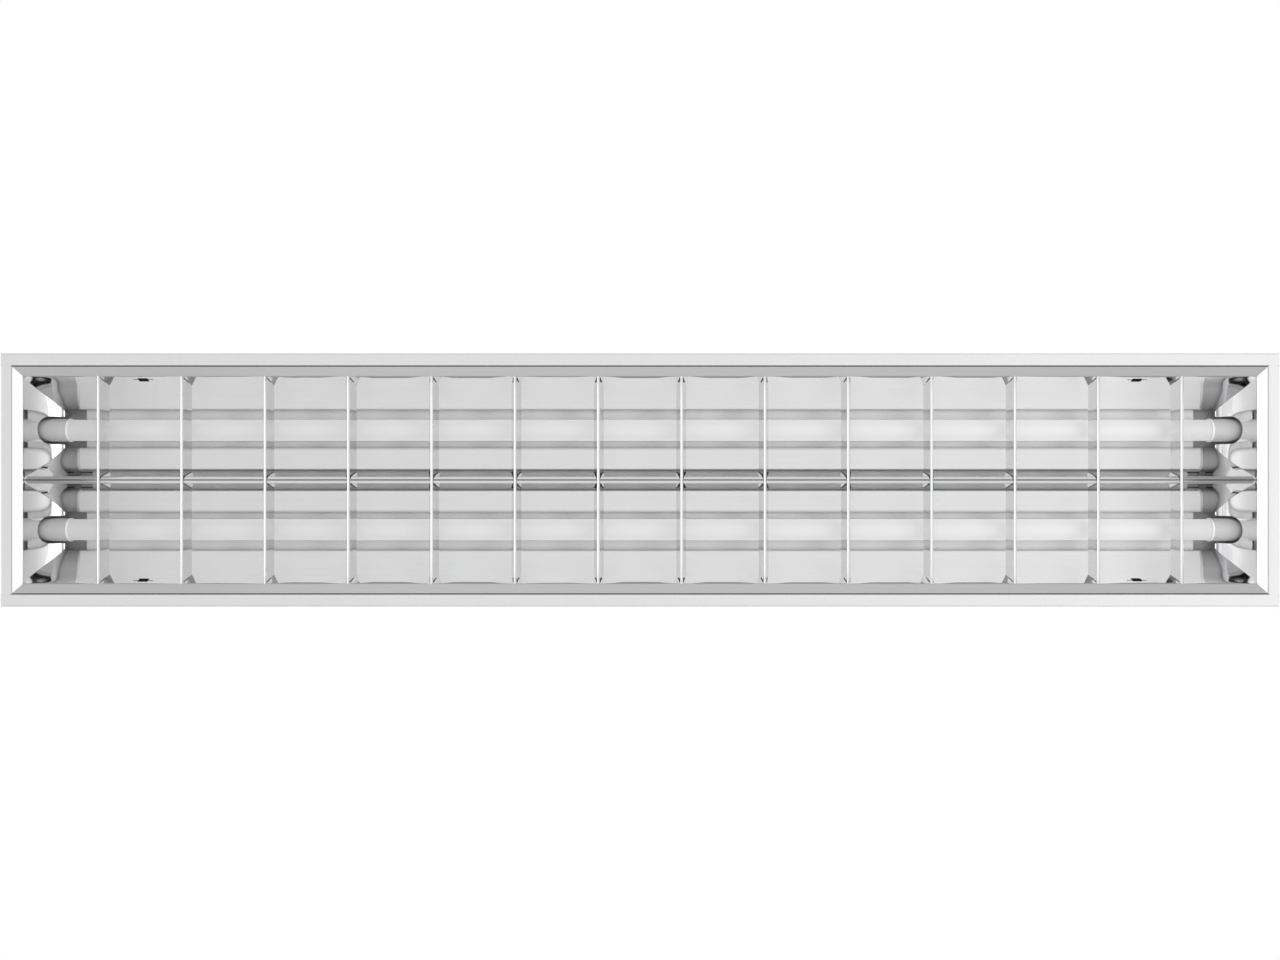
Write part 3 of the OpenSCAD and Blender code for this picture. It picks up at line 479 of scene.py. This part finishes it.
def in_tab(a, b):
    """Whether the piece of a blade's section between the heights a and b touches its tab."""
    low, high = sorted((a, b))
    return high >= TAB_Z - TOUCH and low <= TAB_Z + TAB_H + TOUCH


def blade(i):
    """Cross blade in two halves, notched over the centre reflector, with a tab at each end."""
    half = blade_profile()
    section = [(-x, z) for x, z in reversed(half[1:])] + half
    parts = []
    for side in (-1, 1):
        rows, tabs = [], []
        for x, z in section:
            height = z + STRIP_RISE
            inner = cleared(height, NOTCH_GAP)
            outer = side_y(height) + BLADE_PAST * min(1, z / BLADE_R)
            across = spread(inner, outer, BLADE_WIDTH_STEPS)
            rows.append([(blade_x(i) + x, side * y, RIM_Z + height) for y in across])
            tab = side_y(STRIP_RISE + TAB_Z) + TAB_L
            tabs.append([(blade_x(i) + x, side * y, RIM_Z + height) for y in (outer, tab)])
        parts.append(facing_down(grid(rows)))
        parts.append(facing_down(grid(tabs, lambda k, _: in_tab(section[k][1], section[k + 1][1]))))
    verts, faces = joined(*parts)
    obj = finish_piece(f"cross_blade_{i:02d}", verts, faces, BLADE_T)
    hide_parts(f"blade_{i:02d}")
    return obj


# Lamps


def tube_profile():
    """(x, r) along the outside of a tube between the closed ends of its caps."""
    end = HALF_TUBE - CAP_END
    wall = [-end, *spread(-end + 1, end - 1, TUBE_STEPS), end]
    return [(-end, 0.0), *[(x, TUBE_R) for x in wall], (end, 0.0)]


def cap_profile():
    """(x, r) from the middle of a cap's face over its edge and its step to the seat on the tube."""
    face = HALF_TUBE
    edge = [(face - CAP_EDGE_R * (1 - math.cos(a)), CAP_R - CAP_EDGE_R * (1 - math.sin(a)))
            for a in angles(90, 10)]
    inner = face - CAP_L
    start, low, high, foot = [inner + COLLAR_W + d for d in STEP_CORNERS]
    bottom, far = face - GROOVE_DEPTH, GROOVE_R + GROOVE_W
    return [(face, 0.0), (face, GROOVE_R), (bottom, GROOVE_R + GROOVE_BEVEL),
            (bottom, far - GROOVE_BEVEL), (face, far), *edge,
            (start, CAP_R), (low, CAP_R - STEP_DEPTH),
            (high, CAP_R - STEP_DEPTH), (foot, CAP_R - RING_DEPTH),
            (inner + RING_END, CAP_R - RING_DEPTH), (inner + RING_END, TUBE_R + SLEEVE_GAP),
            (face - CAP_END, TUBE_R + SLEEVE_GAP), (face - CAP_END, 0.0)]


def ring_profile():
    """Rounded collar ring at the cap's inner end."""
    bead = COLLAR_W / 2
    middle = HALF_TUBE - CAP_L + bead
    foot = CAP_R - RING_SUNK
    crown = [(middle + bead * math.cos(a), foot + (COLLAR_R - foot) * math.sin(a))
             for a in angles(180, 12)]
    seat = TUBE_R + RING_GAP
    return [(middle + bead, seat), *crown, (middle - bead, seat), (middle + bead, seat)]


def lamp(row):
    """Tube, caps and collar rings of the front or rear lamp, listed by kind."""
    name = "front" if row < 0 else "rear"
    verts, faces = moved(lathe(tube_profile()), row * LAMP_Y, LAMP_Z)
    tube = finish_piece(f"tube_{name}", verts, faces)
    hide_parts(f"lamp_{name}_tube")
    pieces = {"tube": [tube], "cap": [], "ring": []}
    for end in (-1, 1):
        side = "left" if end < 0 else "right"
        for kind, title, profile, angle in (("cap", "cap", cap_profile(), 28),
                                            ("ring", "cap_ring", ring_profile(), 50)):
            verts, faces = moved(lathe(profile), row * LAMP_Y, LAMP_Z, mirror=end < 0)
            obj = finish_piece(f"{title}_{name}_{side}", verts, faces, angle=angle)
            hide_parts(f"lamp_{name}_cap_{side}")
            pieces[kind].append(obj)
    return pieces


# Housing


def corner_welds():
    """Weld beads, ground flush, in the grooves between the end rims and the long rims."""
    near, far = RIM_Y - WELD_OVER, RIM_Y + BEND_R + WELD_OVER
    section = [(near, WELD_UNDER), (far, WELD_UNDER), (near, BEND_R)]
    verts, faces = [], []
    for end in (-1, 1):
        for side in (-1, 1):
            base = len(verts)
            for x in (RIM_X + BEND_R, HALF_L - BEND_R):
                verts += [(end * x, side * y, RIM_Z + z) for y, z in section]
            for k, n in ((0, 1), (1, 2), (2, 0)):
                faces.append((base + k, base + n, base + 3 + n, base + 3 + k))
            faces += [(base + 2, base + 1, base), (base + 3, base + 4, base + 5)]
    obj = finish_piece("corner_welds", verts, faces, angle=20)
    bm = bmesh.new()
    bm.from_mesh(obj.data)
    bmesh.ops.recalc_face_normals(bm, faces=bm.faces)
    bm.to_mesh(obj.data)
    bm.free()
    return obj


# Material helpers
EVEN = (1, 1, 1)


def material(name, colour, metallic, roughness, specular=0.5):
    mat = bpy.data.materials.new(name)
    mat.use_nodes = True
    shader = mat.node_tree.nodes["Principled BSDF"]
    shader.inputs["Base Color"].default_value = (*colour, 1)
    shader.inputs["Metallic"].default_value = metallic
    shader.inputs["Roughness"].default_value = roughness
    shader.inputs["Specular IOR Level"].default_value = specular
    return mat, mat.node_tree, shader


def noise(tree, scale, size, detail=3.0, rough=0.55):
    """Noise over the object's own metres, stretched by the given scale along X, Y and Z."""
    place = tree.nodes.new("ShaderNodeTexCoord")
    mapping = tree.nodes.new("ShaderNodeMapping")
    mapping.inputs["Scale"].default_value = scale
    tree.links.new(place.outputs["Object"], mapping.inputs["Vector"])
    tex = tree.nodes.new("ShaderNodeTexNoise")
    tex.inputs["Scale"].default_value = size
    tex.inputs["Detail"].default_value = detail
    tex.inputs["Roughness"].default_value = rough
    tree.links.new(mapping.outputs["Vector"], tex.inputs["Vector"])
    return tex.outputs["Fac"]


def ranged(tree, value, low, high, start=0.3, stop=0.7):
    """low to high while the value goes from start to stop, and level outside."""
    node = tree.nodes.new("ShaderNodeMapRange")
    node.inputs["From Min"].default_value = start
    node.inputs["From Max"].default_value = stop
    node.inputs["To Min"].default_value = low
    node.inputs["To Max"].default_value = high
    tree.links.new(value, node.inputs["Value"])
    return node.outputs["Result"]


def calculated(tree, operation, first, second=None):
    node = tree.nodes.new("ShaderNodeMath")
    node.operation = operation
    tree.links.new(first, node.inputs[0])
    if second is not None:
        tree.links.new(second, node.inputs[1])
    return node.outputs[0]


def axes(tree, source="ShaderNodeTexCoord", output="Object"):
    """X, Y and Z of the object's own metres, or of another node's vector."""
    node = tree.nodes.new(source)
    parts = tree.nodes.new("ShaderNodeSeparateXYZ")
    tree.links.new(node.outputs[output], parts.inputs["Vector"])
    return parts.outputs


def tint(tree, value, dark, light):
    ramp = tree.nodes.new("ShaderNodeValToRGB")
    for element, colour, position in zip(ramp.color_ramp.elements, (dark, light), (0.3, 0.7)):
        element.color = (*colour, 1)
        element.position = position
    tree.links.new(value, ramp.inputs["Fac"])
    return ramp.outputs["Color"]


def covered(tree, share, colour, cover):
    """The colour socket where share is 0 and the plain colour cover where share is 1."""
    mix = tree.nodes.new("ShaderNodeMix")
    mix.data_type = "RGBA"
    mix.inputs["B"].default_value = (*cover, 1)
    tree.links.new(share, mix.inputs["Factor"])
    tree.links.new(colour, mix.inputs["A"])
    return mix.outputs["Result"]


def bump(tree, shader, value, distance):
    node = tree.nodes.new("ShaderNodeBump")
    node.inputs["Distance"].default_value = distance
    node.inputs["Strength"].default_value = 1.0
    tree.links.new(value, node.inputs["Height"])
    tree.links.new(node.outputs["Normal"], shader.inputs["Normal"])


def shaded_down(colour, amount):
    return tuple(c * amount for c in colour)


# Materials


def painted(name, colour, roughness=0.42):
    """Satin powder coat: fine orange peel and faint clouding."""
    mat, tree, shader = material(name, colour, 0.0, roughness)
    peel = noise(tree, EVEN, 900.0, 2.0)
    cloud = noise(tree, EVEN, 9.0, 2.0)
    tree.links.new(tint(tree, cloud, shaded_down(colour, 0.985), colour), shader.inputs["Base Color"])
    tree.links.new(ranged(tree, peel, roughness - 0.05, roughness + 0.06), shader.inputs["Roughness"])
    bump(tree, shader, peel, 0.00004)
    return mat


# Depths in mm over which the white coat turns to the backing coat, under a side's outer face and
# over the face of its rim; the backing coat is kept dark as painted shade behind the reflectors
SIDE_FADE, RIM_FADE = (0.2, 0.3), (0.3, 0.5)


def coil_coated_with_painted_shade(name, colour, backing_and_shade):
    """Sheet of a long side: white outside and on the rim, grey backing coat on its inner face, kept
    dark as painted shade.
    """
    mat = painted(name, colour)
    tree, shader = mat.node_tree, mat.node_tree.nodes["Principled BSDF"]
    white = shader.inputs["Base Color"].links[0].from_socket
    at = axes(tree)
    off = calculated(tree, "ABSOLUTE", at["Y"])
    outer, deep = [(HALF_W - d) * MM for d in SIDE_FADE]
    inner = ranged(tree, off, 1.0, 0.0, deep, outer)
    start, stop = [(RIM_Z + d) * MM for d in RIM_FADE]
    above = ranged(tree, at["Z"], 0.0, 1.0, start, stop)
    both = calculated(tree, "MULTIPLY", inner, above)
    tree.links.new(covered(tree, both, white, backing_and_shade), shader.inputs["Base Color"])
    return mat


# Tone of the sheets' backs as a share of the bright side's: a duller back, made dark as painted shade
# on every face that looks up; and the slopes of the sheet, as Z of its normal, between which one
# turns to the other
BACK_SHADE_TONE, BRIGHT_SLOPE, BACK_SHADE_SLOPE = 0.25, -0.01, 0.03


def rolled(name, colour, scale, roughness):
    """Bright anodised sheet with rolling grain one way, and its back, every face that looks up, dark
    as painted shade.
    """
    mat, tree, shader = material(name, colour, 1.0, roughness)
    grain = noise(tree, scale, 1.0, 4.0, 0.6)
    slow = noise(tree, EVEN, 14.0, 2.0)
    bright = tint(tree, grain, shaded_down(colour, 0.975), colour)
    normal = axes(tree, "ShaderNodeNewGeometry", "True Normal")
    back = ranged(tree, normal["Z"], 0.0, 1.0, BRIGHT_SLOPE, BACK_SHADE_SLOPE)
    both = covered(tree, back, bright, shaded_down(colour, BACK_SHADE_TONE))
    tree.links.new(both, shader.inputs["Base Color"])
    tree.links.new(ranged(tree, slow, roughness * 0.8, roughness * 1.25), shader.inputs["Roughness"])
    bump(tree, shader, grain, 0.0000012)
    return mat


def moulded(name, colour, roughness, size=1400.0, depth=0.00002):
    """Moulded plastic: faint erosion texture and uneven gloss."""
    mat, tree, shader = material(name, colour, 0.0, roughness)
    fine = noise(tree, EVEN, size, 2.0)
    slow = noise(tree, EVEN, 60.0, 2.0)
    tree.links.new(tint(tree, slow, shaded_down(colour, 0.96), colour), shader.inputs["Base Color"])
    tree.links.new(ranged(tree, fine, roughness - 0.05, roughness + 0.05), shader.inputs["Roughness"])
    bump(tree, shader, fine, depth)
    return mat


# Painted glow of the unlit tube, for light that the reflectors throw on it: height in radii over its
# axis where it ends, and what is left above
GLOW_TOP, GLOW_ABOVE = 0.52, 0.1
# Share of the glow at the caps, painted shade by the end reflectors, and the metres over which it
# falls to that
GLOW_AT_CAP, GLOW_CAP_RUN = 0.76, 0.11
# Share of the glow at the left and right, painted light from the right, and the distance in metres of
# both from the middle
GLOW_AT_LEFT, GLOW_AT_RIGHT, GLOW_REACH = 0.94, 1.15, 0.6
# Share of the glow at the underside and the flanks, painted light on the flanks, and the heights of
# both in radii over the axis
GLOW_UNDER, GLOW_FLANK, UNDER_Z, FLANK_Z = 0.98, 1.18, -0.8, 0.3


def frosted_with_painted_glow(name, colour, roughness, glow):
    """Frosted lamp tube, not lit: satin surface with a painted glow for the light that the reflectors
    throw on it.
    """
    mat, tree, shader = material(name, colour, 0.0, roughness)
    fine = noise(tree, EVEN, 2500.0, 2.0)
    slow = noise(tree, (6, 30, 30), 1.0, 2.0)
    tree.links.new(tint(tree, slow, shaded_down(colour, 0.98), colour), shader.inputs["Base Color"])
    tree.links.new(ranged(tree, fine, roughness - 0.04, roughness + 0.05), shader.inputs["Roughness"])
    shader.inputs["Emission Color"].default_value = (1, 1, 1, 1)
    at = axes(tree)
    top = (LAMP_Z + GLOW_TOP * TUBE_R) * MM
    lit = ranged(tree, at["Z"], glow, GLOW_ABOVE * glow, top - 0.002, top + 0.002)
    away = calculated(tree, "ABSOLUTE", at["X"])
    inner = (HALF_TUBE - CAP_L) * MM
    fade = ranged(tree, away, 1.0, GLOW_AT_CAP, inner - GLOW_CAP_RUN, inner)
    length = ranged(tree, at["X"], GLOW_AT_LEFT, GLOW_AT_RIGHT, -GLOW_REACH, GLOW_REACH)
    under, side = (LAMP_Z + UNDER_Z * TUBE_R) * MM, (LAMP_Z + FLANK_Z * TUBE_R) * MM
    flank = ranged(tree, at["Z"], GLOW_UNDER, GLOW_FLANK, under, side)
    for share in (fade, length, flank):
        lit = calculated(tree, "MULTIPLY", lit, share)
    tree.links.new(lit, shader.inputs["Emission Strength"])
    bump(tree, shader, fine, 0.000006)
    return mat


def metal(name, colour, roughness):
    """Plated or drawn metal with fine scratches and tone changes."""
    mat, tree, shader = material(name, colour, 1.0, roughness)
    fine = noise(tree, EVEN, 500.0, 3.0)
    slow = noise(tree, EVEN, 120.0, 2.0)
    tree.links.new(tint(tree, slow, shaded_down(colour, 0.88), colour), shader.inputs["Base Color"])
    tree.links.new(ranged(tree, fine, roughness * 0.75, roughness * 1.3), shader.inputs["Roughness"])
    bump(tree, shader, fine, 0.00001)
    return mat


COAT = (0.765, 0.765, 0.765)
# Stretch of the rolling grain in sheets rolled along X, and in blades rolled across it
GRAIN_ALONG, GRAIN_ACROSS = (1.5, 900, 900), (900, 1.5, 900)
MATERIALS = {
    "housing_paint": painted("coil_coat_white", COAT),
    # Long sides: backing coat inside, dark as painted shade in the closed space behind the reflectors
    "housing_side": coil_coated_with_painted_shade("coil_coat_side_painted_shade", COAT, (0.20, 0.20, 0.205)),
    "cover_paint": painted("powder_coat_cover", (0.82, 0.82, 0.82), 0.5),
    # Reflector and blade sheets: faces that look up are dark as painted shade
    "reflector_aluminium": rolled("anodised_reflector", (0.985, 0.985, 0.99), GRAIN_ALONG, 0.05),
    "blade_aluminium": rolled("anodised_blade", (0.79, 0.79, 0.795), GRAIN_ACROSS, 0.07),
    # Lamp tube: no lamp is lit, its emission is a painted glow
    "tube_frosted": frosted_with_painted_glow("frosted_tube_painted_glow", (0.28, 0.28, 0.28), 0.38, 0.485),
    "cap_plastic": moulded("cap_grey", (0.57, 0.57, 0.575), 0.42),
    "cap_ring": moulded("cap_ring_white", (0.93, 0.93, 0.93), 0.22),
    "led_board": moulded("led_board_white", (0.80, 0.79, 0.74), 0.45),
    "driver_board": moulded("circuit_green", (0.05, 0.17, 0.08), 0.35),
    "holder_plastic": moulded("holder_white", (0.76, 0.76, 0.75), 0.32),
    "contact_brass": metal("contact_brass", (0.78, 0.60, 0.30), 0.3),
    "spring_steel": metal("phosphated_steel", (0.035, 0.035, 0.037), 0.45),
    "screw_steel": metal("zinc_plated", (0.66, 0.67, 0.68), 0.3),
    "terminal_plastic": moulded("terminal_ivory", (0.80, 0.77, 0.69), 0.4),
    "clip_plastic": moulded("clip_ivory", (0.80, 0.80, 0.77), 0.42),
    "grommet_rubber": moulded("rubber_black", (0.035, 0.035, 0.035), 0.7, 700.0, 0.00004),
    "wire_insulation": moulded("wire_brown", (0.16, 0.07, 0.035), 0.38, 900.0),
    "earth_insulation": moulded("wire_earth", (0.22, 0.40, 0.05), 0.38, 900.0),
}


def dress(obj, slot):
    obj.data.materials.clear()
    obj.data.materials.append(MATERIALS[slot])
    return obj


# Pieces on their bodies
slot_of = {s["node"]: s["material_slot"] for s in frame["record"]["subparts"]}
# The long sides' inner faces and rim gaps are dark as painted shade
slot_of["housing_side_front"] = slot_of["housing_side_rear"] = "housing_side"
for node, obj in frame["nodes"].items():
    for k in range(max(1, len(obj.data.materials))):
        if k < len(obj.data.materials):
            obj.data.materials[k] = MATERIALS[slot_of[node]]
        else:
            obj.data.materials.append(MATERIALS[slot_of[node]])

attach(dress(corner_welds(), "housing_paint"), "housing")
for row in (-1, 1):
    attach(dress(side_reflector(row), "reflector_aluminium"), "louvre")
    body = "lamp_front" if row < 0 else "lamp_rear"
    made = lamp(row)
    for obj in made["tube"]:
        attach(dress(obj, "tube_frosted"), body)
    for obj in made["cap"]:
        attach(dress(obj, "cap_plastic"), body)
    for obj in made["ring"]:
        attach(dress(obj, "cap_ring"), body)
for end in (-1, 1):
    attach(dress(end_reflector(end), "reflector_aluminium"), "louvre")
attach(dress(centre_reflector(), "reflector_aluminium"), "louvre")
for i in range(1, BLADES + 1):
    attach(dress(blade(i), "blade_aluminium"), "louvre")

# Stage, light and camera, in metres
FLOOR_Z, FLOOR_REACH = -2.9, 60.0
LIGHT_Z, PANEL_L, SIDE_PANEL_L = -2.6, 5.6, 4.6
# Edges of the side panels, as distances from the middle line
NEAR_EDGE, MIDDLE_EDGE, FAR_EDGE = 1.05, 2.9, 4.6
CAMERA_REACH = 1.5


def floor():
    mesh = bpy.data.meshes.new("floor")
    r = FLOOR_REACH
    mesh.from_pydata([(-r, -r, FLOOR_Z), (r, -r, FLOOR_Z), (r, r, FLOOR_Z), (-r, r, FLOOR_Z)],
                     [], [(0, 1, 2, 3)])
    obj = new_object("floor", mesh)
    mat, _, _ = material("floor_pale", (0.9, 0.9, 0.9), 0.0, 0.9, 0.1)
    obj.data.materials.append(mat)


def world(strength, shown):
    """White surroundings: strength as light, and shown to the camera and in mirrors."""
    w = bpy.data.worlds.new("studio")
    w.use_nodes = True
    tree = w.node_tree
    back = tree.nodes["Background"]
    back.inputs["Color"].default_value = (1, 1, 1, 1)
    path = tree.nodes.new("ShaderNodeLightPath")
    seen = path.outputs["Is Camera Ray"]
    for kind in ("Is Glossy Ray", "Is Transmission Ray"):
        seen = calculated(tree, "MAXIMUM", seen, path.outputs[kind])
    tree.links.new(ranged(tree, seen, strength, shown, 0.0, 1.0), back.inputs["Strength"])
    bpy.context.scene.world = w


def area_light(name, at, size, power, aim=(0, 0, -0.08), glossy=True):
    data = bpy.data.lights.new(name, "AREA")
    data.shape = "RECTANGLE"
    data.size, data.size_y = size
    data.energy = power
    obj = new_object(name, data)
    obj.location = at
    obj.rotation_mode = "QUATERNION"
    obj.rotation_quaternion = (Vector(aim) - Vector(at)).to_track_quat("-Z", "Y")
    obj.visible_camera = False
    obj.visible_glossy = glossy


def panel(name, side, near, far, radiance, x=0.0, length=PANEL_L, glossy=True):
    """Soft panel that faces up, between two distances from the middle line."""
    width, y = far - near, side * (near + far) / 2
    power = math.pi * radiance * length * width
    area_light(name, (x, y, LIGHT_Z), (length, width), power, (x, y, 0), glossy)


floor()
world(0.3, 1.0)
panel("key_below", 0, -0.35, 0.35, 0.7)
panel("soft_below", 0, -NEAR_EDGE, NEAR_EDGE, 0.12)
for side, name in ((-1, "front"), (1, "rear")):
    panel("side_" + name, side, NEAR_EDGE, MIDDLE_EDGE, 1.12, 0.7, SIDE_PANEL_L, glossy=False)
    panel("side_shown_" + name, side, NEAR_EDGE, MIDDLE_EDGE, 0.6, 0.8, SIDE_PANEL_L)
    panel("far_" + name, side, MIDDLE_EDGE, FAR_EDGE, 0.36)
area_light("end_left", (-2.4, 0.0, -1.6), (1.2, 1.4), 9.5)
area_light("end_right", (2.4, 0.0, -1.6), (1.2, 1.4), 4.0)
area_light("right_below", (1.2, 0.0, -1.5), (0.9, 1.8), 8.0, aim=(1.2, 0, 0), glossy=False)
area_light("fill_above", (0.0, 0.0, 2.2), (3.0, 3.0), 36.0)

cam_data = bpy.data.cameras.new("camera")
cam_data.sensor_width = 36.0
cam_data.lens = 35.02
camera = new_object("camera", cam_data)
camera.location = (0.0, 0.0, RIM_Z * MM - CAMERA_REACH)
camera.rotation_euler = (math.pi, 0.0, 0.0)
bpy.context.scene.camera = camera
bpy.context.scene.view_settings.view_transform = "Standard"
